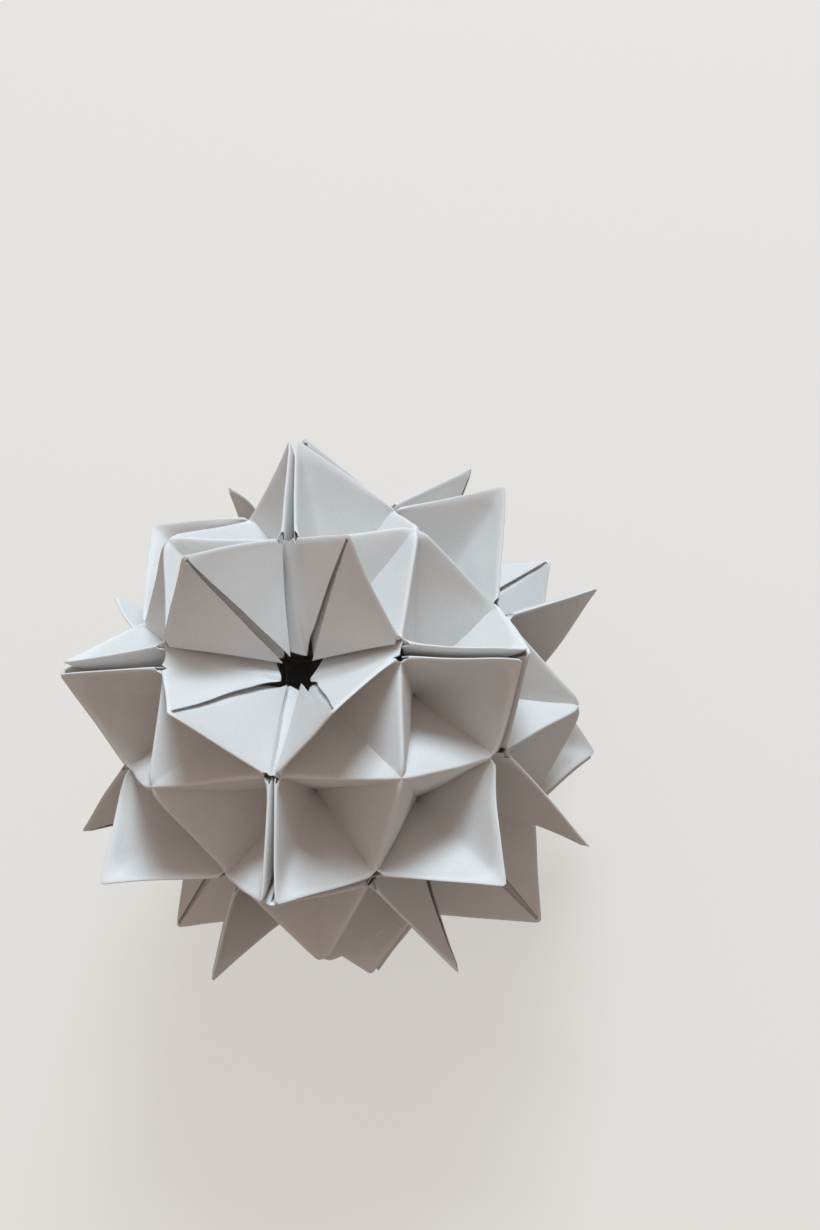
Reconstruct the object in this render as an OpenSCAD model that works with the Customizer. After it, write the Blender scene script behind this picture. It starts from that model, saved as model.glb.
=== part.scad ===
// Kusudama ball folded from twelve square sheets of paper.
// Each sheet is one unit: a peak with four ridges, a pocket between each pair of ridges, and a tip on each pocket.
// The units sit on the twelve edges of a cube. Four of them face each other around a flower pit on every cube face,
// and three of them lean together into a spike on every cube corner. Tabs tucked under the next ridge hold the ball.

/* [Sheet] */
// Side of one square sheet before folding
sheet_side = 105; // [95:1:125]
// Thickness of the folded paper
paper_t = 0.3; // [0.2:0.05:0.4]

/* [Folds] */
// Angle at the peak between the two ridges beside a flower pit
pit_angle = 82; // [81:0.5:83]
// Angle at the peak between the two ridges beside a spike
spike_angle = 71; // [70.6:0.1:72.2]

/* [Flaps] */
// Thickness of the two outer flaps on each pit wall
flap_t = 0.3; // [0.2:0.05:0.4]
// Step from the rim of a pit wall down to its flaps
rim_step = 0.6; // [0.3:0.1:1.5]
// Width of the slit between two flaps at the hole of the pit
slit_w = 1.6; // [0.8:0.2:3]

/* [Assembly] */
// Distance between the pockets of two units inside a spike
pocket_gap = 2; // [1.6:0.1:2.6]
// Free space between a tucked tab and the ridge that covers it
tab_gap = 0.2; // [0.15:0.05:0.3]
// Length of a tab along the edge of the pit
tab_drop = 24; // [16:1:25]
// Depth of a tab under the ridge of the next unit
tab_tuck = 9; // [5:1:11]

/* [Hidden] */
NODES = [
    "unit_upper_right", "unit_upper_back", "unit_upper_left", "unit_upper_front",
    "unit_middle_back_right", "unit_middle_back_left", "unit_middle_front_left", "unit_middle_front_right",
    "unit_lower_right", "unit_lower_back", "unit_lower_left", "unit_lower_front"
];

// The two cube faces that meet at the edge of each unit, in the order of NODES
FACE_PAIRS = [
    [[1, 0, 0], [0, 0, 1]], [[0, 1, 0], [0, 0, 1]], [[-1, 0, 0], [0, 0, 1]], [[0, -1, 0], [0, 0, 1]],
    [[1, 0, 0], [0, 1, 0]], [[-1, 0, 0], [0, 1, 0]], [[-1, 0, 0], [0, -1, 0]], [[1, 0, 0], [0, -1, 0]],
    [[1, 0, 0], [0, 0, -1]], [[0, 1, 0], [0, 0, -1]], [[-1, 0, 0], [0, 0, -1]], [[0, -1, 0], [0, 0, -1]]
];

PAPER = [0.86, 0.87, 0.88];

// Overlap that makes a flap one solid with the wall behind it
LAYER_BITE = 0.05;
// Keeps the offset of a corner finite where its faces are nearly parallel
DAMPING = 1e-6;

// A quarter of the sheet is the length of a ridge, a rim and a pocket edge
ridge = sheet_side / 4;

// Direction of a ridge from the peak: towards a pit, towards a spike, and outwards
to_pit = sin(spike_angle / 2);
to_spike = sin(pit_angle / 2);
outwards = -sqrt(1 - pow(to_pit, 2) - pow(to_spike, 2));

// Pocket floor seen in its own mirror plane, as [sideways, outwards] for ridges of length 1
function pocket_floor(side, across) =
    let (half = sqrt(1 - pow(across, 2)), turn = acos(1 / (sqrt(2) * half)), m = [side, outwards] / half)
    sqrt(2) * [cos(turn) * m[0] + sin(turn) * m[1], cos(turn) * m[1] - sin(turn) * m[0]];

// Tip of a pocket: the peak reflected in the plane through the two ridge ends and the pocket floor
function pocket_tip(side, across) =
    let (m = [side, outwards], k = pocket_floor(side, across), u = (k - m) / norm(k - m))
    2 * m - 2 * (m * u) * u;

pit_floor = ridge * pocket_floor(to_pit, to_spike);
pit_tip = ridge * pocket_tip(to_pit, to_spike);
spike_floor = ridge * pocket_floor(to_spike, to_pit);
spike_tip = ridge * pocket_tip(to_spike, to_pit);

// Distance of a peak from the centre of the ball: the pocket floors of three units meet inside each spike
peak_r = sqrt(2) * spike_floor[0] - spike_floor[1] + pocket_gap;

// Corners of the folded sheet: the peak, four ridge ends, four pocket floors and four tips
RIDGE_SIGNS = [[1, 1], [-1, 1], [-1, -1], [1, -1]];
RIDGE_ENDS = [for (s = RIDGE_SIGNS) ridge * [s[0] * to_pit, s[1] * to_spike, outwards]];

function around(pit, spike) = [
    [pit[0], 0, pit[1]], [0, spike[0], spike[1]], [-pit[0], 0, pit[1]], [0, -spike[0], spike[1]]
];

FLOORS = around(pit_floor, spike_floor);
TIPS = around(pit_tip, spike_tip);
SHEET_POINTS = concat([[0, 0, 0]], RIDGE_ENDS, FLOORS, TIPS);

// Pocket j lies between ridge j - 1 and ridge j, and its four facets are listed counter-clockwise from outside
SHEET_FACES = [
    for (j = [0:3])
        let (before = 1 + (j + 3) % 4, after = 1 + j, floor = 5 + j, tip = 9 + j)
        each [[0, before, floor], [0, floor, after], [floor, before, tip], [after, floor, tip]]
];

function unit_vector(v) = v / norm(v);
function column(rows, i) = [for (r = rows) r[i]];
function total(values) = values * [for (v = values) 1];
function volume_of(a, b, c) = cross(a, b) * c;

function face_normal(points, f) =
    unit_vector(cross(points[f[1]] - points[f[0]], points[f[2]] - points[f[0]]));

function touches(f, v) = f[0] == v || f[1] == v || f[2] == v;

// Step from corner v that lies one unit above every face around it, as closely as they allow
function corner_step(points, faces, v) =
    let (
        normals = [for (f = faces) if (touches(f, v)) face_normal(points, f)],
        cols = [for (i = [0:2]) column(normals, i)],
        m = [for (i = [0:2]) [for (j = [0:2]) cols[i] * cols[j] + (i == j ? DAMPING : 0)]],
        b = [for (c = cols) total(c)]
    )
    [volume_of(b, m[1], m[2]), volume_of(m[0], b, m[2]), volume_of(m[0], m[1], b)] / volume_of(m[0], m[1], m[2]);

function face_edges(f) = [[f[0], f[1]], [f[1], f[2]], [f[2], f[0]]];

function free_edges(faces) =
    let (edges = [for (f = faces) each face_edges(f)])
    [for (e = edges) if (len([for (o = edges) if (o[0] == e[1] && o[1] == e[0]) 1]) == 0) e];

// Solid of a folded sheet: its facets moved half the thickness to each side and closed along the free edges
module thick_sheet(points, faces, thickness) {
    n = len(points);
    steps = [for (v = [0:n - 1]) corner_step(points, faces, v) * thickness / 2];
    upper = [for (f = faces) [f[2], f[1], f[0]]];
    lower = [for (f = faces) [f[0] + n, f[1] + n, f[2] + n]];
    sides = [for (e = free_edges(faces)) each [[e[0], e[1], e[1] + n], [e[0], e[1] + n, e[0] + n]]];
    polyhedron(concat(points + steps, points - steps), concat(upper, lower, sides));
}

// One of the two triangular flaps that lie on the outside of a pit wall, with the slit between them
module pit_flap(tip, end, floor, outside) {
    down = (floor - end) / ridge;
    lift = (paper_t / 2 + flap_t / 2 - LAYER_BITE) * unit_vector(outside);
    corners = [
        tip + sqrt(2) * rim_step * unit_vector(floor - tip),
        end + rim_step * down,
        floor - slit_w * down
    ];
    thick_sheet([for (c = corners) c + lift], [[0, 1, 2]], flap_t);
}

// The same point on the unit at the other end of a ridge, mirrored through the centre of the ball
function on_next_unit(p, signs) =
    let (to_next = [signs[0] / 2, signs[1] / sqrt(2), -1 / 2], centre = [0, 0, -peak_r])
    p - 2 * ((p - centre) * to_next) * to_next;

// Tab at the end of a ridge: it bridges the gap along the pit's edge, then lies under the next unit's ridge
module tab(signs) {
    end = ridge * [signs[0] * to_pit, signs[1] * to_spike, outwards];
    down = (FLOORS[signs[0] > 0 ? 0 : 2] - end) / ridge;
    next_end = on_next_unit(end, signs);
    next_back = (on_next_unit([0, 0, 0], signs) - next_end) / ridge;
    next_down = (on_next_unit(FLOORS[signs[0] > 0 ? 0 : 2], signs) - next_end) / ridge;
    next_side = (on_next_unit(FLOORS[signs[1] > 0 ? 1 : 3], signs) - next_end) / ridge;
    roof_angle = acos(next_down * next_side);
    level = paper_t + tab_gap;
    inner_end = next_end + level * unit_vector(next_side - (next_side * next_down) * next_down);
    top = inner_end + level / tan(roof_angle / 2) * next_down;
    bottom = inner_end + tab_drop * next_down;
    points = [
        end, end + tab_drop * down,
        top, bottom,
        top + tab_tuck * next_back, bottom + tab_tuck * (next_back - next_down)
    ];
    thick_sheet(points, [[0, 1, 3], [0, 3, 2], [2, 3, 5], [2, 5, 4]], paper_t);
}

// One folded sheet, its peak at the origin, its pits along X and its spikes along Y
module folded_unit() {
    thick_sheet(SHEET_POINTS, SHEET_FACES, paper_t);
    for (j = [0, 2]) {
        before = RIDGE_ENDS[(j + 3) % 4];
        after = RIDGE_ENDS[j];
        pit_flap(TIPS[j], before, FLOORS[j], cross(TIPS[j] - FLOORS[j], before - FLOORS[j]));
        pit_flap(TIPS[j], after, FLOORS[j], cross(after - FLOORS[j], TIPS[j] - FLOORS[j]));
    }
    tab([1, -1]);
    tab([-1, 1]);
}

// Height of the centre above the floor when the ball stands on the four tips of its lowest pit
tip_step = corner_step(SHEET_POINTS, SHEET_FACES, 9) * paper_t / 2;
function reach(p) = (peak_r + p[2] + p[0]) / sqrt(2);
centre_h = max(reach(TIPS[0] + tip_step), reach(TIPS[0] - tip_step));

// Sets a unit on the cube edge between two faces
module on_edge(faces) {
    z = (faces[0] + faces[1]) / sqrt(2);
    x = (faces[0] - faces[1]) / sqrt(2);
    y = cross(z, x);
    centre = [0, 0, centre_h];
    multmatrix([for (i = [0:2]) [x[i], y[i], z[i], centre[i] + peak_r * z[i]]]) children();
}

for (i = [0:len(NODES) - 1])
    color(PAPER) on_edge(FACE_PAIRS[i]) folded_unit();
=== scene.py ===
import math
import random

import bpy
import numpy as np
from mathutils import Matrix, Vector


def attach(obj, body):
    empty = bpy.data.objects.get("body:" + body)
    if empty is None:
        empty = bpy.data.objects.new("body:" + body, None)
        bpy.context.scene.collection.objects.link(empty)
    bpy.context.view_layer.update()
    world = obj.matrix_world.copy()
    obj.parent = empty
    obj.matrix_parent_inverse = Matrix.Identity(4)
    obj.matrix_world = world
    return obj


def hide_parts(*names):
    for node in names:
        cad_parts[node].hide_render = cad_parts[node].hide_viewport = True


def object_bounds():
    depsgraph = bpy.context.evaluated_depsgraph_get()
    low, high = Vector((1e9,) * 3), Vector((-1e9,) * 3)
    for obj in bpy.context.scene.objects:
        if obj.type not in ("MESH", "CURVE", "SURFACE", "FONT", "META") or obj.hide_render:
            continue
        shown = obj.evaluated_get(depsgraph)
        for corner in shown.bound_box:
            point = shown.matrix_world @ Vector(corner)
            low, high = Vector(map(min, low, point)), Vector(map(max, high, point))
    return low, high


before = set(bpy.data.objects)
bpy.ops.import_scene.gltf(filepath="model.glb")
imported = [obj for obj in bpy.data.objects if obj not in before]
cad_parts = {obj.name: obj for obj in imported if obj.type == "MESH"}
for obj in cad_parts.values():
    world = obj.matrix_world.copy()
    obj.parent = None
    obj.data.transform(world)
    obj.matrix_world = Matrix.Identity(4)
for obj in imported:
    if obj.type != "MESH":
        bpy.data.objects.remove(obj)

CAD_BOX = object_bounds()

bl_info = {
    "name": "Kusudama paper ball",
    "version": (1, 0, 0),
    "blender": (4, 5, 0),
    "location": "3D View > Sidebar > Kusudama",
    "description": "Folds twelve paper squares into a kusudama ball and sets it on a pale floor",
    "category": "Add Mesh",
}

MM = 0.001
BALL_CENTRE = (Vector(CAD_BOX[0]) + Vector(CAD_BOX[1])) / 2

# The two cube faces that meet at the edge of each unit: that of its first pit, then that of its second
UNIT_FACES = {
    "unit_upper_right": ((1, 0, 0), (0, 0, 1)),
    "unit_upper_back": ((0, 1, 0), (0, 0, 1)),
    "unit_upper_left": ((-1, 0, 0), (0, 0, 1)),
    "unit_upper_front": ((0, -1, 0), (0, 0, 1)),
    "unit_middle_back_right": ((1, 0, 0), (0, 1, 0)),
    "unit_middle_back_left": ((-1, 0, 0), (0, 1, 0)),
    "unit_middle_front_left": ((-1, 0, 0), (0, -1, 0)),
    "unit_middle_front_right": ((1, 0, 0), (0, -1, 0)),
    "unit_lower_right": ((1, 0, 0), (0, 0, -1)),
    "unit_lower_back": ((0, 1, 0), (0, 0, -1)),
    "unit_lower_left": ((-1, 0, 0), (0, 0, -1)),
    "unit_lower_front": ((0, -1, 0), (0, 0, -1)),
}

# Pockets of a unit by number: the even ones are beside a flower pit, the odd ones beside a spike
FIRST_PIT, FIRST_SPIKE, SECOND_PIT, SECOND_SPIKE = range(4)
PIT, SPIKE = 0, 1

# Signs of the four numbered ridges around a peak, towards pit and spike
RIDGE_SIGNS = ((1, 1), (-1, 1), (-1, -1), (1, -1))

# How far a unit strays from the exact fold, in millimetres: lift of its peak, then lean of the walls of
# its four pockets, by number, towards the peak
HAND_FOLD = {
    "unit_upper_right": (1.0, -0.5, -2.5, 3.0, -0.5),
    "unit_upper_back": (2.5, -9.0, 1.5, -4.5, 2.0),
    "unit_upper_left": (0.5, -2.0, 1.5, 2.0, 0.0),
    "unit_upper_front": (-2.0, -6.0, 2.0, 2.0, 0.5),
    "unit_middle_back_right": (0.0, -4.0, 0.0, -6.0, 2.0),
    "unit_middle_back_left": (0.0, -0.5, -0.5, -7.0, 0.0),
    "unit_middle_front_left": (2.0, 0.0, 0.0, -6.0, -1.0),
    "unit_middle_front_right": (1.5, -2.5, 0.0, -7.0, 0.0),
    "unit_lower_right": (0.0, -4.0, 0.0, 0.7, 0.0),
    "unit_lower_back": (0.5, -5.0, 0.0, 0.8, 0.5),
    "unit_lower_left": (0.0, -2.0, 0.0, 0.2, 0.0),
    "unit_lower_front": (-0.5, -0.5, 0.5, 1.2, 0.0),
}

# Walls whose tips fall short of the exact fold, in millimetres
SHORT_TIPS = {"unit_upper_back": {FIRST_PIT: 3.5}, "unit_upper_left": {SECOND_PIT: 3.5}}

# Tabs of a second pit wall, where it doesn't have one soft tab on its first side: side, and whether steep
BEFORE, AFTER = False, True
SECOND_TABS = {"unit_upper_back": {}, "unit_upper_left": {BEFORE: True, AFTER: False}}

# The tab of a first pit wall is steep on some units and soft on the others
TAB_SEED, STEEP_CHANCE = 12, 0.5

# How wide the slits of a unit stand open, where they aren't as wide as the others
SLIT_SHARES = {
    "unit_upper_right": 0.5, "unit_upper_back": 0.2, "unit_upper_left": 2.0, "unit_upper_front": 1.5,
}

# How far the end of a numbered ridge is pulled to the end that it meets, and that end to it, in shares of
# the usual
END_PULLS = {
    "unit_upper_back": {1: (-1.5, 1.0)},
    "unit_upper_left": {1: (2.2, 2.2), 2: (1.0, -1.5)},
    "unit_upper_front": {2: (2.2, 2.2)},
}

# Distances of the rings of points from a panel's edges, and how many steps an edge and a hem have
RINGS = [r * MM for r in (0.0, 0.2, 0.45, 0.8, 1.25, 1.9, 2.8)]
PANEL_STEPS = 14
HEM_TURNS = 6

# How strongly points are drawn to a panel's corners, and how near points of one layer become one
CORNER_DRAW = 1.6
WELD = 1e-6

# Power of the curve by which a leaning wall bends from its floor to its tip
LEAN_CURL = 1.5

# Ridges: reach of the rounding, and how it dies away to the ends and the peak
RIDGE_SOFT = 2.0 * MM
RIDGE_END_FIRM, RIDGE_END_SOFT = 2.5 * MM, 0.25
PEAK_FIRM, PEAK_BLUNT = 8 * MM, 0.06

# Rims and walls: reach and share of the rounding, of the bend along the middle, and the crisp tip
RIM_SOFT, WALL_RIM_SOFT, FLAP_RIM_SOFT, HEM_SOFT = 0.5 * MM, 0.55, 0.5, 0.3
WALL_BEND, WALL_BEND_SHARES = 5 * MM, {PIT: 0.6, SPIKE: 0.9}
TIP_FIRM, TIP_CRISP, TIP_SOFT = 7 * MM, 3 * MM, 0.1

# Reach of the paler band along a fold, partly rubbed paper and partly painted highlight on the rounded
# edge, and how much of it a flap has
FOLD_RUB_AND_HIGHLIGHT, FLAP_RUB_AND_HIGHLIGHT = 0.5 * MM, 0.7

# Flaps: bow against that of a panel, share of the slit's width, and how loose they hang
FLAP_BOW = 14 / 27
SLIT_PARTS = {PIT: 1.0, SPIKE: 0.5}
FLAP_SLACK = {PIT: 1.0, SPIKE: 0.2}

# Tabs: shares of the width, first across the gap and then under the ridge
TAB_ACROSS = (0.05, 0.12, 0.22, 0.35, 0.5, 0.65, 0.8, 0.9, 1.0)
TAB_UNDER = (0.25, 0.5, 0.75, 1.0)

# Tabs: gap at the top, dip under the ridge, depth of a soft and of a steep one, and the part in which these
# grow from the top; reach and share of the bend beside the flap, and how much the low end is trimmed
TAB_TOP, TAB_DIP, TAB_SINK, TAB_STEEP, TAB_EASE = 0.35 * MM, 2.0 * MM, 1.4 * MM, 2.8 * MM, 0.25
TAB_SOFT, TAB_BEND, TAB_TRIM = 2.5 * MM, 0.8, 0.4

# Bring the product of the two shares of a line, and of the three shares of a panel, to one in the middle
ARCH, BULGE = 4, 27

# Brings the noise by which the ball strays, which mostly keeps within a quarter of its middle, to one
WOBBLE_SPREAD = 4.0

# Folds flatter than this are shaded smooth
SMOOTH_ANGLE = math.radians(38)

# Paper: noises of tooth and mottle, the part of their range in use, and what they do to the surface
TOOTH_NOISE = {"Scale": 2600.0, "Detail": 3.0, "Roughness": 0.65}
MOTTLE_NOISE = {"Scale": 130.0, "Detail": 4.0, "Roughness": 0.6}
NOISE_RANGE = {"From Min": 0.3, "From Max": 0.7}
# Mottle is tone that differs at random; the second share is how far folds and rims go to a paler colour,
# partly rubbed paper and partly painted highlight
MOTTLE_SHARE, RUB_AND_HIGHLIGHT_SHARE = 0.45, 0.7
PAPER_ROUGHNESS = {"To Min": 0.8, "To Max": 0.96}
TOOTH_BUMP = {"Strength": 0.12, "Distance": 0.0002}
PAPER_SHINE = 0.2

# Floor: half its side in metres, its finish, and its glow to the camera, which keeps the background pale
FLOOR_HALF = 8.0
FLOOR_ROUGHNESS, FLOOR_SHINE = 0.95, 0.1
FLOOR_GLOW, FLOOR_GLOW_COLOUR = 0.54, (1.0, 0.98, 0.95, 1.0)

# Room: light that it gives from all sides, and the pale tone that the camera sees beyond the floor
ROOM_LIGHT, ROOM_COLOUR = 0.38, (1.0, 0.83, 0.73, 1.0)
ROOM_SEEN = (0.655, 0.615, 0.585, 1.0)

# Lamp: direction from the ball, distance and side in metres, power in watts, and colour
LAMP_TOWARDS, LAMP_DISTANCE, LAMP_SIDE = (0.60, 0.35, 0.72), 1.8, 0.7
LAMP_POWER, LAMP_COLOUR = 29.0, (0.71, 0.88, 1.0)

# Camera: directions of its picture, place in ridge lengths to the right, up and back, and lens in mm
CAMERA_RIGHT, CAMERA_UP = (0.7143, -0.6511, -0.2565), (0.697, 0.6286, 0.3452)
CAMERA_PLACE = (0.6433, 0.8841, 17.499)
SENSOR_HEIGHT, LENS = 36.0, 57.8


def unit_vector(v):
    return v / np.linalg.norm(v)


class FoldedSheet:
    """Corners of one folded sheet in metres.

    The peak is at the origin, the pits lie along X, the spikes along Y, and Z points outwards.
    """

    def __init__(self, folds):
        self.ridge = folds.sheet_side / 4
        to_pit = math.sin(folds.spike_angle / 2)
        to_spike = math.sin(folds.pit_angle / 2)
        self.outwards = -math.sqrt(1 - to_pit ** 2 - to_spike ** 2)
        pit_floor, pit_tip = self.pocket(to_pit, to_spike)
        spike_floor, spike_tip = self.pocket(to_spike, to_pit)
        self.peak_r = math.sqrt(2) * spike_floor[0] - spike_floor[1] + folds.pocket_gap
        self.peak = np.zeros(3)
        self.ends = [self.ridge * np.array((sx * to_pit, sy * to_spike, self.outwards))
                     for sx, sy in RIDGE_SIGNS]
        self.floors = self.around(pit_floor, spike_floor)
        self.tips = self.around(pit_tip, spike_tip)

    def pocket(self, side, across):
        """Floor and tip of a pocket in its own mirror plane, as (sideways, outwards)."""
        half = math.sqrt(1 - across ** 2)
        turn = math.acos(1 / (math.sqrt(2) * half))
        middle = np.array((side, self.outwards))
        m = middle / half
        floor = math.sqrt(2) * np.array((math.cos(turn) * m[0] + math.sin(turn) * m[1],
                                         math.cos(turn) * m[1] - math.sin(turn) * m[0]))
        along = unit_vector(floor - middle)
        tip = 2 * middle - 2 * (middle @ along) * along
        return self.ridge * floor, self.ridge * tip

    @staticmethod
    def around(pit, spike):
        """A point of all four pockets, in the order of their numbers."""
        return [np.array(p) for p in ((pit[0], 0, pit[1]), (0, spike[0], spike[1]),
                                      (-pit[0], 0, pit[1]), (0, -spike[0], spike[1]))]

    def on_next_unit(self, point, signs):
        """The same point on the unit at the other end of a ridge."""
        to_next = np.array((signs[0] / 2, signs[1] / math.sqrt(2), -1 / 2))
        centre = np.array((0, 0, -self.peak_r))
        return point - 2 * ((point - centre) @ to_next) * to_next

    def to_next(self, number):
        """Direction from the end of a ridge to the end that it meets on the next unit."""
        met = self.on_next_unit(self.ends[number], RIDGE_SIGNS[number])
        return unit_vector(met - self.ends[number])


def fade(distance, reach):
    return math.exp(-(distance / reach) ** 2)


def bulge(w):
    """One in the middle of a panel, nought along its edges."""
    return BULGE * w[0] * w[1] * w[2]


def crisp(tip_share, ridge):
    """Keeps the tip of a wall from being rounded off."""
    return min(1.0, TIP_SOFT + (1 - tip_share) * ridge / TIP_CRISP)


def graded(shares):
    """Corner weights drawn towards the corners, where the creases meet."""
    drawn = np.array(shares) ** CORNER_DRAW
    return drawn / drawn.sum()


def panel_grid(steps, insets):
    """Corner weights and faces of a right-angled panel: rings that follow its edges, then a grid."""
    inradius = 1 - math.sqrt(0.5)
    middle = np.array((1, math.sqrt(2), 1)) / (2 + math.sqrt(2))
    border = []
    for c in range(3):
        for i in range(steps):
            shares = np.zeros(3)
            shares[c], shares[(c + 1) % 3] = 1 - i / steps, i / steps
            border.append(graded(shares))
    border = np.array(border)
    count = len(border)
    weights, faces = [], []
    for inset in insets[:-1]:
        weights.extend(middle + (1 - inset / inradius) * (border - middle))
    for ring in range(len(insets) - 2):
        low, high = ring * count, (ring + 1) * count
        for i in range(count):
            j = (i + 1) % count
            faces.append((low + i, low + j, high + j, high + i))
    last = len(weights) - count
    scale = 1 - insets[-1] / inradius
    index = {}
    for i in range(steps + 1):
        for j in range(steps + 1 - i):
            index[i, j] = len(weights)
            shares = graded(np.array((steps - i - j, i, j)) / steps)
            weights.append(middle + scale * (shares - middle))
    for i in range(steps):
        for j in range(steps - i):
            faces.append((index[i, j], index[i + 1, j], index[i, j + 1]))
            if i + j < steps - 1:
                faces.append((index[i + 1, j], index[i + 1, j + 1], index[i, j + 1]))
    inner = [index[i, 0] for i in range(steps)]
    inner += [index[steps - j, j] for j in range(steps)]
    inner += [index[0, steps - j] for j in range(steps)]
    for i in range(count):
        j = (i + 1) % count
        faces.append((last + i, last + j, inner[j], inner[i]))
    return np.array(weights), faces


class UnitNet:
    """Mesh of one unit before it is softened: panels, hems, flaps and tabs.

    Each point also holds how it may give way: how far it is rounded, bowed, lifted, leant and pulled.
    """

    # One float is the paler band along folds and rims: partly rubbed paper, partly painted highlight on the
    # rounded edges
    FLOATS = ("soft", "bend", "bow", "loose", "worn", "crest")
    LEANS = ("lean_first_pit", "lean_first_spike", "lean_second_pit", "lean_second_spike")
    DROPS = tuple(name + "_drop" for name in LEANS)
    VECTORS = LEANS + DROPS + ("lift", "part", "close")

    def __init__(self, sheet, folds, tabs, pulls, short_tips):
        self.sheet, self.folds = sheet, folds
        self.tabs, self.pulls, self.short_tips = tabs, pulls, short_tips
        self.points, self.faces, self.panels = [], [], []
        self.values = {name: [] for name in self.FLOATS + self.VECTORS}
        self.found = {}
        self.panel = 0
        self.weights, self.grid = panel_grid(PANEL_STEPS, [r / sheet.ridge for r in RINGS])
        for j in range(4):
            self.add_pocket(j)

    def add(self, point, layer=None, **values):
        """A new point, or the one that the same layer of paper already has there."""
        key = (layer,) + tuple(np.round(point / WELD).astype(int))
        if layer is not None and key in self.found:
            at = self.found[key]
            for name in ("soft", "bend", "worn"):
                self.values[name][at] = max(self.values[name][at], values.get(name, 0.0))
            return at
        self.found[key] = at = len(self.points)
        self.points.append(point)
        self.panels.append(self.panel)
        for name in self.FLOATS:
            self.values[name].append(values.get(name, 0.0))
        for name in self.VECTORS:
            self.values[name].append(values.get(name, (0.0, 0.0, 0.0)))
        return at

    def add_strips(self, rows, turned):
        for low, high in zip(rows, rows[1:]):
            for i in range(len(low) - 1):
                quad = (low[i], low[i + 1], high[i + 1], high[i])
                self.faces.append(tuple(reversed(quad)) if turned else quad)

    def add_panel(self, points, turned):
        for face in self.grid:
            self.faces.append(tuple(points[i] for i in (reversed(face) if turned else face)))
        self.panel += 1

    def add_pocket(self, j):
        """Two side panels below the ridges, and the two halves of the wall with the flaps behind it."""
        sheet = self.sheet
        number_before, number_after = (j + 3) % 4, j
        before, after = sheet.ends[number_before], sheet.ends[number_after]
        floor, tip = sheet.floors[j], sheet.tips[j]
        tip = tip + unit_vector(floor - tip) * self.short_tips.get(j, 0.0) * MM
        self.wall, self.pocket = tip - floor, j
        self.towards_peak = unit_vector(
            np.cross(before - floor, tip - floor) + np.cross(floor - after, tip - after))
        pull_before, pull_after = self.pull(number_before), self.pull(number_after)
        self.add_side(np.array((sheet.peak, before, floor)), False, pull_before)
        self.add_side(np.array((floor, after, sheet.peak)), True, pull_after)
        columns = []
        for corners, turned, pull in ((np.array((floor, before, tip)), False, pull_before),
                                      (np.array((tip, after, floor)), True, pull_after)):
            self.add_wall(corners, turned, j % 2, pull)
            columns.append(self.add_flap(corners, turned, j, pull))
        rungs = list(zip(*columns))
        self.faces.append((rungs[0][0], rungs[1][0], rungs[1][1]))
        for low, high in zip(rungs[1:], rungs[2:]):
            self.faces.append((low[1], low[0], high[0], high[1]))

    def pull(self, number):
        """Shift of the end of a ridge towards the end that it meets."""
        return self.sheet.to_next(number) * self.pulls.get(number, (1.0, 1.0))[0]

    def leaning(self, share):
        """How a point of the wall moves with its lean, and sinks with the lean's square as it curls."""
        curled = LEAN_CURL ** 2 / (4 * LEAN_CURL - 2) * share ** (2 * LEAN_CURL - 1)
        drop = -self.wall * curled / (self.wall @ self.wall)
        return {self.LEANS[self.pocket]: tuple(self.towards_peak * share ** LEAN_CURL),
                self.DROPS[self.pocket]: tuple(drop)}

    def add_side(self, corners, turned, pull):
        a = self.sheet.ridge
        points = []
        for w in self.weights:
            peak, to_ridge = (w[2], w[0] * a) if turned else (w[0], w[2] * a)
            from_end = min(1.0, (1 - w[1]) * a / RIDGE_END_FIRM)
            from_peak = min(1.0, PEAK_BLUNT + (1 - peak) * a / PEAK_FIRM)
            rounded = (RIDGE_END_SOFT + (1 - RIDGE_END_SOFT) * from_end) * from_peak
            points.append(self.add(
                w @ corners, "sheet", crest=peak, bow=bulge(w), close=tuple(pull * w[1]),
                soft=fade(to_ridge, RIDGE_SOFT) * rounded, worn=fade(to_ridge, FOLD_RUB_AND_HIGHLIGHT)))
        self.add_panel(points, False)

    def add_wall(self, corners, turned, kind, pull):
        a = self.sheet.ridge
        points = []
        for w in self.weights:
            floor, tip = (w[2], w[0]) if turned else (w[0], w[2])
            to_middle = w[1] * a / math.sqrt(2)
            from_tip = min(1.0, (1 - tip) * a / TIP_FIRM)
            points.append(self.add(
                w @ corners, "sheet", bow=bulge(w), worn=fade(floor * a, FOLD_RUB_AND_HIGHLIGHT),
                soft=WALL_RIM_SOFT * fade(floor * a, RIM_SOFT) * crisp(tip, a),
                bend=WALL_BEND_SHARES[kind] * fade(to_middle, WALL_BEND) * from_tip,
                close=tuple(pull * w[1]), **self.leaning(tip)))
        self.add_panel(points, False)

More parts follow.
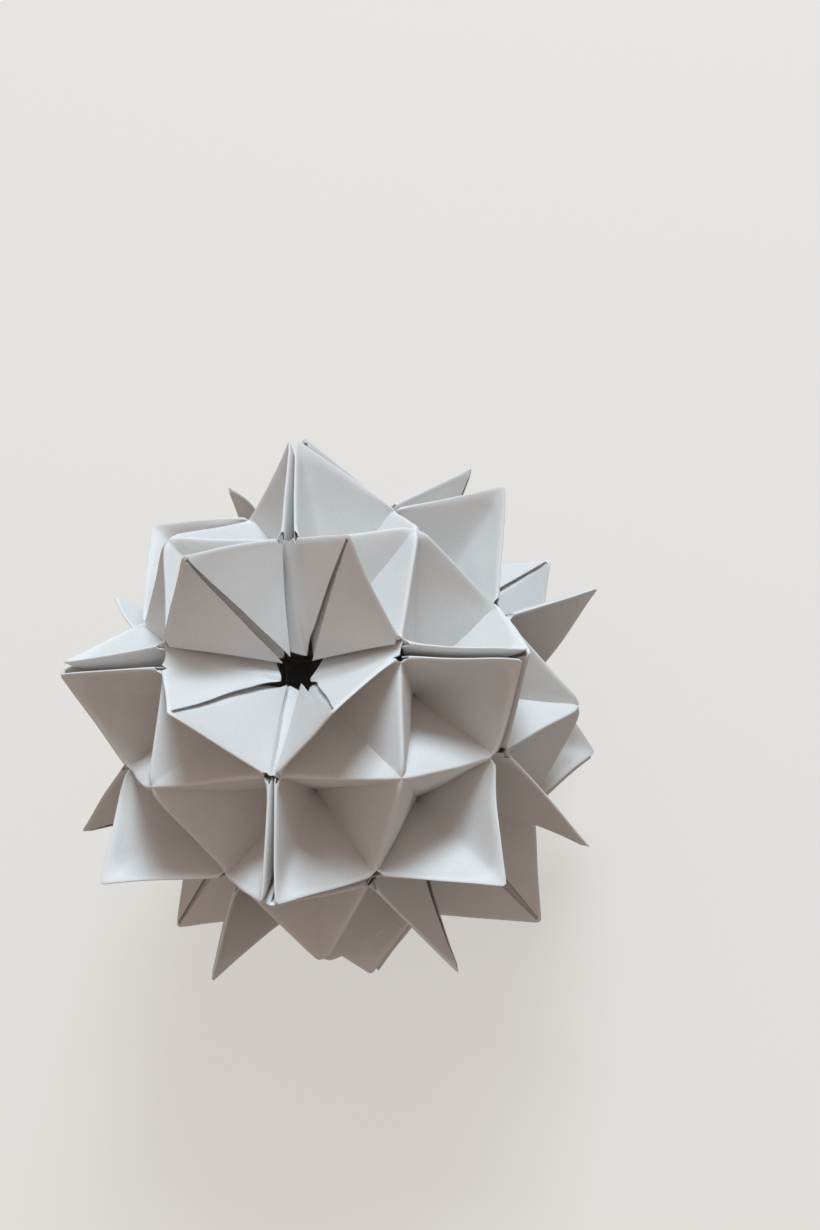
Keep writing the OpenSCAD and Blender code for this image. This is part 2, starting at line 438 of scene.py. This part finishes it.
    def add_flap(self, corners, turned, j, pull):
        """The paper that goes round the rim of a wall and lies behind it, with its tab.

        Returns its points at the tip.
        """
        a, hem, kind = self.sheet.ridge, self.folds.hem_gap, j % 2
        floor, end, tip = corners[::-1] if turned else corners
        front = unit_vector(np.cross(corners[1] - corners[0], corners[2] - corners[0]))
        down, back = (floor - end) / a, -front * hem
        off_slit = unit_vector(end - (floor + tip) / 2)
        steep = self.tabs.get(j, {}).get(turned)
        layer = ("flap", self.panel)
        flap = corners.copy()
        flap[2 if turned else 0] = floor - self.folds.slit_width * SLIT_PARTS[kind] * down
        points = []
        for w in self.weights:
            floor_w, tip_w = (w[2], w[0]) if turned else (w[0], w[2])
            inside = min(1.0, floor_w * a / TAB_SOFT, (1 - floor_w) * a / TAB_SOFT)
            points.append(self.add(
                w @ flap + back, layer, bow=FLAP_BOW * bulge(w),
                worn=FLAP_RUB_AND_HIGHLIGHT * fade(floor_w * a, FOLD_RUB_AND_HIGHLIGHT),
                soft=FLAP_RIM_SOFT * fade(floor_w * a, RIM_SOFT) * crisp(tip_w, a),
                bend=TAB_BEND * inside * fade(tip_w * a, TAB_SOFT) if steep is False else 0.0,
                loose=FLAP_SLACK[kind] * floor_w * (1 - w[1]), lift=tuple(-front),
                part=tuple(off_slit * ARCH * floor_w * tip_w * (1 - w[1])),
                close=tuple(pull * w[1]), **self.leaning(tip_w)))
        rows = []
        for k in range(HEM_TURNS + 1):
            angle = math.pi * k / HEM_TURNS
            round_rim = back * (1 - math.cos(angle)) / 2 - down * (hem / 2) * math.sin(angle)
            row = []
            for i in range(PANEL_STEPS + 1):
                along = graded((i / PANEL_STEPS, 1 - i / PANEL_STEPS))[0]
                row.append(self.add(
                    # The whole rounded rim takes the paler colour: partly rubbed paper, partly painted
                    # highlight
                    end + (tip - end) * along + round_rim, layer if k else "sheet", worn=1.0,
                    soft=HEM_SOFT * crisp(along, a), close=tuple(pull * (1 - along)),
                    **self.leaning(along)))
            rows.append(row)
        self.add_strips(rows, not turned)
        self.add_panel(points, True)
        if steep is not None:
            crease = range(PANEL_STEPS, 2 * PANEL_STEPS + 1) if turned else range(PANEL_STEPS, -1, -1)
            self.add_tab(j, turned, steep, [points[i] for i in crease], -front)
        return [row[-1] for row in rows]

    def add_tab(self, j, turned, steep, edge, lift):
        """The strip that goes on from a flap's edge, bridges to the next unit and goes under its ridge."""
        sheet, folds = self.sheet, self.folds
        number = j if turned else (j + 3) % 4
        signs = RIDGE_SIGNS[number]
        own_pull, next_pull = self.pulls.get(number, (1.0, 1.0))
        towards_next = sheet.to_next(number)
        a, end = sheet.ridge, sheet.ends[number]
        next_end = sheet.on_next_unit(end, signs)
        spike_floor = sheet.floors[FIRST_SPIKE if signs[1] > 0 else SECOND_SPIKE]
        next_back, next_down, next_side = (
            (sheet.on_next_unit(point, signs) - next_end) / a
            for point in (sheet.peak, sheet.floors[j], spike_floor))
        inwards = unit_vector(next_side - (next_side @ next_down) * next_down)
        far_end = next_end + inwards * folds.tab_depth
        to_centre = unit_vector(np.array((0, 0, -sheet.peak_r)) - (end + next_end) / 2)
        steps = len(edge) - 1
        rows = []
        for r, first in enumerate(edge):
            along = graded((r / steps, 1 - r / steps))[0]
            near = self.points[first]
            far = far_end + next_down * (TAB_TOP + (folds.tab_drop - TAB_TOP) * along)
            width = np.linalg.norm(far - near)
            eased = min(1.0, along / TAB_EASE)
            drop, sunk = (TAB_STEEP * eased, 0.0) if steep else (0.0, TAB_SINK * eased)
            inside = min(1.0, along * a / TAB_SOFT, (1 - along) * a / TAB_SOFT)
            row = [first]
            for s in TAB_ACROSS:
                sag = (drop * min(1.0, s / TAB_ACROSS[1]) * (1 - s) + sunk * s ** 2
                       + folds.tab_sag * ARCH * s * (1 - s))
                pulled = (1 - along) * (own_pull * (1 - s) - next_pull * s)
                row.append(self.add(
                    near + (far - near) * s + to_centre * sag,
                    lift=tuple(lift), loose=(along * (1 - s)) ** 2, close=tuple(towards_next * pulled),
                    bend=0.0 if steep else TAB_BEND * inside * fade(s * width, TAB_SOFT) * (1 - s)))
            for s in TAB_UNDER:
                tucked = next_back * folds.tab_tuck * s * (1 - TAB_TRIM * along)
                dipped = (next_down + inwards) * TAB_DIP * s
                row.append(self.add(far + tucked + dipped + to_centre * sunk,
                                    close=tuple(-towards_next * next_pull * (1 - along))))
            rows.append(row)
        corner, across, below = (self.points[i] for i in (rows[0][0], rows[0][1], rows[1][0]))
        self.add_strips(rows, np.cross(across - corner, below - corner) @ to_centre > 0)
        self.panel += 1

    def to_mesh(self, name):
        mesh = bpy.data.meshes.new(name)
        mesh.from_pydata([tuple(p) for p in self.points], [], self.faces)
        for key in self.FLOATS:
            layer = mesh.attributes.new(key, "FLOAT", "POINT")
            layer.data.foreach_set("value", np.array(self.values[key], dtype=np.float32))
        for key in self.VECTORS:
            layer = mesh.attributes.new(key, "FLOAT_VECTOR", "POINT")
            layer.data.foreach_set("vector", np.array(self.values[key], dtype=np.float32).ravel())
        layer = mesh.attributes.new("panel", "INT", "POINT")
        layer.data.foreach_set("value", np.array(self.panels, dtype=np.int32))
        return mesh


class NodeTree:
    """Short hand for making linked nodes in a tree."""

    def __init__(self, tree):
        self.tree = tree

    def feed(self, socket, value):
        """Links a socket to another one, or sets its value."""
        if isinstance(value, bpy.types.NodeSocket):
            self.tree.links.new(value, socket)
        else:
            socket.default_value = value

    def node(self, kind, inputs=None, **settings):
        made = self.tree.nodes.new(kind)
        for name, value in settings.items():
            setattr(made, name, value)
        for name, value in (inputs or {}).items():
            self.feed(made.inputs[name], value)
        return made

    def math(self, operation, first, second):
        made = self.node("ShaderNodeMath", operation=operation)
        self.feed(made.inputs[0], first)
        self.feed(made.inputs[1], second)
        return made.outputs[0]

    def rays_that_show(self):
        """One for rays that show the stage to the camera, straight or by gloss or glass, else nought."""
        rays = self.node("ShaderNodeLightPath").outputs
        turned = self.math("ADD", rays["Is Glossy Ray"], rays["Is Transmission Ray"])
        return self.math("ADD", rays["Is Camera Ray"], turned)


def in_use(sockets):
    """The one output that a node with several kinds of output has switched on."""
    return [socket for socket in sockets if socket.enabled][0]


LEAN_INPUTS = ("First pit lean", "First spike lean", "Second pit lean", "Second spike lean")

FOLDING_INPUTS = {
    "Geometry": "NodeSocketGeometry",
    "Ridge rounding": "NodeSocketInt",
    "Wall rounding": "NodeSocketInt",
    "Panel bow": "NodeSocketFloat",
    "Flap lift": "NodeSocketFloat",
    "Slit bow": "NodeSocketFloat",
    **{name: "NodeSocketFloat" for name in LEAN_INPUTS},
    "Peak lift": "NodeSocketFloat",
    "End pull": "NodeSocketFloat",
    "Wobble": "NodeSocketFloat",
    "Wobble length": "NodeSocketFloat",
    "Seed": "NodeSocketInt",
    "Turn": "NodeSocketVector",
    "Place": "NodeSocketVector",
    "Paper": "NodeSocketMaterial",
}


def folding_tree():
    """Geometry nodes that turn the sharp net of a unit into folded paper and set it on its cube edge."""
    tree = bpy.data.node_groups.new("Folded paper unit", "GeometryNodeTree")
    tree.is_modifier = True
    for name, kind in FOLDING_INPUTS.items():
        tree.interface.new_socket(name=name, in_out="INPUT", socket_type=kind)
    tree.interface.new_socket(name="Geometry", in_out="OUTPUT", socket_type="NodeSocketGeometry")
    n = NodeTree(tree)
    given = n.node("NodeGroupInput").outputs
    position = n.node("GeometryNodeInputPosition").outputs[0]
    normal = n.node("GeometryNodeInputNormal").outputs[0]

    def attribute(name, kind="FLOAT"):
        node = n.node("GeometryNodeInputNamedAttribute", {"Name": name}, data_type=kind)
        return node.outputs["Attribute"]

    def way(name):
        return attribute(name, "FLOAT_VECTOR")

    def times(first, second):
        return n.math("MULTIPLY", first, second)

    def scaled(vector, factor):
        node = n.node("ShaderNodeVectorMath", {"Vector": vector, "Scale": factor}, operation="SCALE")
        return node.outputs["Vector"]

    def moved(geometry, offset):
        node = n.node("GeometryNodeSetPosition", {"Geometry": geometry, "Offset": offset})
        return node.outputs["Geometry"]

    def softened(geometry, weight, rounds):
        blur = n.node("GeometryNodeBlurAttribute", {"Iterations": rounds}, data_type="FLOAT_VECTOR")
        for socket in blur.inputs:
            if socket.name == "Value" and socket.enabled:
                n.feed(socket, position)
            if socket.name == "Weight":
                n.feed(socket, weight)
        node = n.node("GeometryNodeSetPosition", {"Geometry": geometry, "Position": in_use(blur.outputs)})
        return node.outputs["Geometry"]

    shape = given["Geometry"]
    for name, lean, drop in zip(LEAN_INPUTS, UnitNet.LEANS, UnitNet.DROPS):
        shape = moved(shape, scaled(way(lean), given[name]))
        shape = moved(shape, scaled(way(drop), times(given[name], given[name])))
    shape = moved(shape, scaled(way("close"), given["End pull"]))
    rise = n.node("ShaderNodeCombineXYZ", {"Z": times(attribute("crest"), given["Peak lift"])})
    shape = moved(shape, rise.outputs["Vector"])
    shape = softened(shape, attribute("bend"), given["Wall rounding"])
    shape = softened(shape, attribute("soft"), given["Ridge rounding"])

    chance = n.node("FunctionNodeRandomValue", {"Seed": given["Seed"]}, data_type="FLOAT")
    n.feed(chance.inputs["ID"], attribute("panel", "INT"))
    drawn = in_use(chance.outputs)
    shape = moved(shape, scaled(normal, times(times(attribute("bow"), given["Panel bow"]), drawn)))
    shape = moved(shape, scaled(way("lift"), times(times(attribute("loose"), given["Flap lift"]), drawn)))
    shape = moved(shape, scaled(way("part"), given["Slit bow"]))

    turn = n.node("FunctionNodeEulerToRotation", {"Euler": given["Turn"]}).outputs[0]
    placed = n.node("GeometryNodeTransform", {
        "Geometry": shape, "Rotation": turn, "Translation": given["Place"]})
    noise = n.node("ShaderNodeTexNoise", {
        "Vector": position, "Scale": n.math("DIVIDE", 1.0, given["Wobble length"]), "Detail": 1.0},
        noise_dimensions="3D")
    centred = n.node("ShaderNodeVectorMath", operation="SUBTRACT")
    n.feed(centred.inputs[0], noise.outputs["Color"])
    n.feed(centred.inputs[1], (0.5, 0.5, 0.5))
    strayed = scaled(centred.outputs["Vector"], times(given["Wobble"], WOBBLE_SPREAD))
    shape = moved(placed.outputs["Geometry"], strayed)

    whole = n.node("GeometryNodeRealizeInstances", {"Geometry": shape}).outputs["Geometry"]
    dressed = n.node("GeometryNodeSetMaterial", {"Geometry": whole, "Material": given["Paper"]})
    n.node("NodeGroupOutput", {"Geometry": dressed.outputs["Geometry"]})
    return tree


def paper_material(colours):
    """Matte uncoated paper: fine tooth, faint mottle, and folds and rims a little paler, partly rubbed
    paper and partly painted highlight.
    """
    material = bpy.data.materials.new("matte_white_paper")
    material.use_nodes = True
    n = NodeTree(material.node_tree)
    shader = material.node_tree.nodes["Principled BSDF"]
    place = n.node("ShaderNodeTexCoord").outputs["Object"]
    tooth = n.node("ShaderNodeTexNoise", {"Vector": place, **TOOTH_NOISE}).outputs["Fac"]
    mottle = n.node("ShaderNodeTexNoise", {"Vector": place, **MOTTLE_NOISE}).outputs["Fac"]
    speck = n.node("ShaderNodeMapRange", {"Value": tooth, **NOISE_RANGE})
    cloud = n.node("ShaderNodeMapRange", {"Value": mottle, **NOISE_RANGE, "To Max": MOTTLE_SHARE})

    def mixed(factor, first, second):
        mix = n.node("ShaderNodeMix", data_type="RGBA")
        values = {"Factor": factor, "A": first, "B": second}
        for socket in mix.inputs:
            if socket.enabled:
                n.feed(socket, values[socket.name])
        return in_use(mix.outputs)

    white, shade, worn = (tuple(c) + (1.0,) for c in (colours.paper, colours.tooth, colours.fold))
    flat = mixed(speck.outputs["Result"], white, shade)
    flat = mixed(cloud.outputs["Result"], flat, shade)
    rub_and_highlight_mask = n.node("ShaderNodeAttribute", attribute_name="worn").outputs["Fac"]
    rough = n.node("ShaderNodeMapRange", {"Value": tooth, **PAPER_ROUGHNESS})
    bump = n.node("ShaderNodeBump", {"Height": tooth, **TOOTH_BUMP})
    # Folds and rims mixed towards the paler colour: partly rubbed paper, partly painted highlight on the
    # rounded edges
    n.feed(shader.inputs["Base Color"], mixed(n.math("MULTIPLY", rub_and_highlight_mask, RUB_AND_HIGHLIGHT_SHARE), flat, worn))
    n.feed(shader.inputs["Roughness"], rough.outputs["Result"])
    n.feed(shader.inputs["Normal"], bump.outputs["Normal"])
    n.feed(shader.inputs["Specular IOR Level"], PAPER_SHINE)
    return material


class KusudamaFolds(bpy.types.PropertyGroup):
    """Sizes of the folded sheets."""
    sheet_side: bpy.props.FloatProperty(
        name="Sheet side", description="Side of one square sheet before folding",
        default=0.105, min=0.05, max=0.3, unit="LENGTH")
    pit_angle: bpy.props.FloatProperty(
        name="Pit angle", description="Angle at the peak between the two ridges beside a flower pit",
        default=math.radians(82), subtype="ANGLE")
    spike_angle: bpy.props.FloatProperty(
        name="Spike angle", description="Angle at the peak between the two ridges beside a spike",
        default=math.radians(71), subtype="ANGLE")
    pocket_gap: bpy.props.FloatProperty(
        name="Pocket gap", description="Distance between the pockets of two units inside a spike",
        default=0.002, unit="LENGTH")
    paper_thickness: bpy.props.FloatProperty(
        name="Paper thickness", description="Thickness of one layer of paper",
        default=0.00022, unit="LENGTH")
    hem_gap: bpy.props.FloatProperty(
        name="Hem gap", description="Distance between a wall and the flap folded over its rim",
        default=0.0006, unit="LENGTH")
    slit_width: bpy.props.FloatProperty(
        name="Slit width", description="Width of half the slit between two flaps at the hole of a pit",
        default=0.0006, unit="LENGTH")
    tab_depth: bpy.props.FloatProperty(
        name="Tab depth", description="Depth of a tucked tab under the ridge that covers it",
        default=0.0007, unit="LENGTH")
    tab_drop: bpy.props.FloatProperty(
        name="Tab length", description="Length of a tab along the edge of the pit",
        default=0.0232, unit="LENGTH")
    tab_sag: bpy.props.FloatProperty(
        name="Tab sag", description="Depth of the hollow in a tab between two units",
        default=0.0007, unit="LENGTH")
    tab_tuck: bpy.props.FloatProperty(
        name="Tab tuck", description="How far a tab reaches along under the ridge of the next unit",
        default=0.007, unit="LENGTH")
    ridge_rounding: bpy.props.IntProperty(
        name="Ridge rounding", description="How far the folded ridges are rounded",
        default=24, min=0, max=80)
    wall_rounding: bpy.props.IntProperty(
        name="Wall rounding", description="How far the walls of the pockets are curved",
        default=60, min=0, max=200)
    panel_bow: bpy.props.FloatProperty(
        name="Panel bow", description="Largest bow of a panel between its creases",
        default=0.0005, unit="LENGTH")
    flap_lift: bpy.props.FloatProperty(
        name="Flap lift", description="Largest lift of a flap's loose corner",
        default=0.0018, unit="LENGTH")
    slit_bow: bpy.props.FloatProperty(
        name="Slit bow", description="How far the edges of a slit bow apart",
        default=0.00045, unit="LENGTH")
    end_pull: bpy.props.FloatProperty(
        name="End pull", description="How far two ridges are drawn together where they meet",
        default=0.0007, unit="LENGTH")
    wobble: bpy.props.FloatProperty(
        name="Wobble", description="How far the hand-folded ball strays from its exact form",
        default=0.0005, unit="LENGTH")
    wobble_length: bpy.props.FloatProperty(
        name="Wobble length", description="Length over which the ball strays",
        default=0.028, unit="LENGTH")


class KusudamaColours(bpy.types.PropertyGroup):
    """Colours of the paper and the stage."""
    paper: bpy.props.FloatVectorProperty(
        name="Paper", description="White of the paper",
        subtype="COLOR", size=3, min=0, max=1, default=(0.81, 0.80, 0.79))
    tooth: bpy.props.FloatVectorProperty(
        name="Tooth", description="Slightly darker fibres in the paper",
        subtype="COLOR", size=3, min=0, max=1, default=(0.72, 0.705, 0.69))
    # Paler colour along folds and rims: partly rubbed paper, partly painted highlight on the rounded edges
    fold: bpy.props.FloatVectorProperty(
        name="Fold", description="Paper rubbed pale along its folds",
        subtype="COLOR", size=3, min=0, max=1, default=(0.86, 0.855, 0.85))
    floor: bpy.props.FloatVectorProperty(
        name="Floor", description="Pale floor under the ball",
        subtype="COLOR", size=3, min=0, max=1, default=(0.28, 0.26, 0.24))


class KUSUDAMA_OT_fold_units(bpy.types.Operator):
    """Fold the twelve paper units and set them on the edges of the cube"""
    bl_idname = "kusudama.fold_units"
    bl_label = "Fold the twelve units"

    def execute(self, context):
        folds = context.scene.kusudama_folds
        sheet = FoldedSheet(folds)
        paper = paper_material(context.scene.kusudama_colours)
        tree = folding_tree()
        draw = random.Random(TAB_SEED)
        for number, (node, faces) in enumerate(UNIT_FACES.items()):
            first, second = (Vector(f) for f in faces)
            outward = (first + second).normalized()
            along = (first - second).normalized()
            turn = Matrix((along, outward.cross(along), outward)).transposed()
            tabs = {FIRST_PIT: {BEFORE: draw.random() < STEEP_CHANCE},
                    SECOND_PIT: SECOND_TABS.get(node, {BEFORE: False})}
            net = UnitNet(sheet, folds, tabs, END_PULLS.get(node, {}), SHORT_TIPS.get(node, {}))
            lift, *leans = (stray * MM for stray in HAND_FOLD[node])
            settings = {
                "Ridge rounding": folds.ridge_rounding,
                "Wall rounding": folds.wall_rounding,
                "Panel bow": folds.panel_bow,
                "Flap lift": folds.flap_lift,
                "Slit bow": folds.slit_bow * SLIT_SHARES.get(node, 1.0),
                **dict(zip(LEAN_INPUTS, leans)),
                "Peak lift": lift,
                "End pull": folds.end_pull,
                "Wobble": folds.wobble,
                "Wobble length": folds.wobble_length,
                "Seed": number,
                "Turn": tuple(turn.to_euler()),
                "Place": tuple(BALL_CENTRE + outward * sheet.peak_r),
                "Paper": paper,
            }
            mesh = self.folded_mesh(context, net.to_mesh(node + "_net"), tree, settings)
            mesh.name = node + "_paper"
            piece = bpy.data.objects.new(node + "_paper", mesh)
            context.scene.collection.objects.link(piece)
            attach(piece, "root")
            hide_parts(node)
        return {"FINISHED"}

    def folded_mesh(self, context, net, tree, settings):
        """The net of a unit, folded by the tree and given its thickness, as a plain mesh."""
        sockets = {item.name: item.identifier for item in tree.interface.items_tree
                   if item.in_out == "INPUT"}
        shaper = bpy.data.objects.new(net.name, net)
        context.scene.collection.objects.link(shaper)
        fold = shaper.modifiers.new("Fold", "NODES")
        fold.node_group = tree
        for name, value in settings.items():
            fold[sockets[name]] = value
        thick = shaper.modifiers.new("Thickness", "SOLIDIFY")
        thick.thickness = context.scene.kusudama_folds.paper_thickness
        thick.offset = 0
        shaper.update_tag()
        depsgraph = context.evaluated_depsgraph_get()
        mesh = bpy.data.meshes.new_from_object(shaper.evaluated_get(depsgraph))
        bpy.data.objects.remove(shaper)
        mesh.shade_smooth()
        mesh.set_sharp_from_angle(angle=SMOOTH_ANGLE)
        return mesh


class KUSUDAMA_OT_set_stage(bpy.types.Operator):
    """Set the pale floor, the soft light and the camera"""
    bl_idname = "kusudama.set_stage"
    bl_label = "Set the stage"

    def execute(self, context):
        scene = context.scene
        scene.view_settings.view_transform = "Standard"
        self.add_floor(scene)
        self.add_room(scene)
        self.add_lamp(scene)
        self.add_camera(scene)
        return {"FINISHED"}

    def add_floor(self, scene):
        corners = [(sx * FLOOR_HALF, sy * FLOOR_HALF, 0) for sx, sy in ((-1, -1), (1, -1), (1, 1), (-1, 1))]
        mesh = bpy.data.meshes.new("floor")
        mesh.from_pydata(corners, [], [(0, 1, 2, 3)])
        material = bpy.data.materials.new("pale_floor")
        material.use_nodes = True
        shader = material.node_tree.nodes["Principled BSDF"]
        n = NodeTree(material.node_tree)
        n.feed(shader.inputs["Base Color"], tuple(scene.kusudama_colours.floor) + (1.0,))
        n.feed(shader.inputs["Roughness"], FLOOR_ROUGHNESS)
        n.feed(shader.inputs["Specular IOR Level"], FLOOR_SHINE)
        n.feed(shader.inputs["Emission Color"], FLOOR_GLOW_COLOUR)
        n.feed(shader.inputs["Emission Strength"], n.math("MULTIPLY", n.rays_that_show(), FLOOR_GLOW))
        mesh.materials.append(material)
        floor = bpy.data.objects.new("floor", mesh)
        scene.collection.objects.link(floor)

    def add_room(self, scene):
        world = bpy.data.worlds.new("soft_room")
        scene.world = world
        world.use_nodes = True
        n = NodeTree(world.node_tree)
        light = world.node_tree.nodes["Background"]
        n.feed(light.inputs["Color"], ROOM_COLOUR)
        n.feed(light.inputs["Strength"], ROOM_LIGHT)
        pale = n.node("ShaderNodeBackground", {"Color": ROOM_SEEN, "Strength": 1.0})
        shown = n.node("ShaderNodeMixShader")
        for socket, source in zip(shown.inputs, (n.rays_that_show(), light.outputs[0], pale.outputs[0])):
            n.feed(socket, source)
        n.feed(world.node_tree.nodes["World Output"].inputs["Surface"], shown.outputs[0])

    def add_lamp(self, scene):
        towards = Vector(LAMP_TOWARDS).normalized()
        data = bpy.data.lights.new("soft_lamp", "AREA")
        data.shape = "SQUARE"
        data.size = LAMP_SIDE
        data.energy = LAMP_POWER
        data.color = LAMP_COLOUR
        lamp = bpy.data.objects.new("soft_lamp", data)
        scene.collection.objects.link(lamp)
        lamp.location = BALL_CENTRE + towards * LAMP_DISTANCE
        lamp.rotation_euler = towards.to_track_quat("Z", "Y").to_euler()

    def add_camera(self, scene):
        ridge = scene.kusudama_folds.sheet_side / 4
        right, up = Vector(CAMERA_RIGHT), Vector(CAMERA_UP)
        back = right.cross(up).normalized()
        up = back.cross(right).normalized()
        right.normalize()
        data = bpy.data.cameras.new("camera")
        data.sensor_fit = "VERTICAL"
        data.sensor_height = SENSOR_HEIGHT
        data.lens = LENS
        camera = bpy.data.objects.new("camera", data)
        scene.collection.objects.link(camera)
        to_right, to_top, to_back = CAMERA_PLACE
        camera.matrix_world = Matrix((right, up, back)).transposed().to_4x4()
        camera.location = BALL_CENTRE + ridge * (to_right * right + to_top * up + to_back * back)
        scene.camera = camera


class KUSUDAMA_PT_panel(bpy.types.Panel):
    """Sizes, colours and steps of the ball"""
    bl_idname = "KUSUDAMA_PT_panel"
    bl_label = "Kusudama"
    bl_space_type = "VIEW_3D"
    bl_region_type = "UI"
    bl_category = "Kusudama"

    def draw(self, context):
        layout = self.layout
        for group in (context.scene.kusudama_folds, context.scene.kusudama_colours):
            box = layout.box()
            for name in group.bl_rna.properties.keys():
                if name not in ("rna_type", "name"):
                    box.prop(group, name)
        layout.operator(KUSUDAMA_OT_fold_units.bl_idname)
        layout.operator(KUSUDAMA_OT_set_stage.bl_idname)


CLASSES = (
    KusudamaFolds, KusudamaColours, KUSUDAMA_OT_fold_units, KUSUDAMA_OT_set_stage, KUSUDAMA_PT_panel,
)


def register():
    for cls in CLASSES:
        bpy.utils.register_class(cls)
    bpy.types.Scene.kusudama_folds = bpy.props.PointerProperty(type=KusudamaFolds)
    bpy.types.Scene.kusudama_colours = bpy.props.PointerProperty(type=KusudamaColours)


def unregister():
    del bpy.types.Scene.kusudama_colours
    del bpy.types.Scene.kusudama_folds
    for cls in reversed(CLASSES):
        bpy.utils.unregister_class(cls)


def main():
    register()
    bpy.ops.kusudama.fold_units()
    bpy.ops.kusudama.set_stage()


if __name__ == "__main__":
    main()
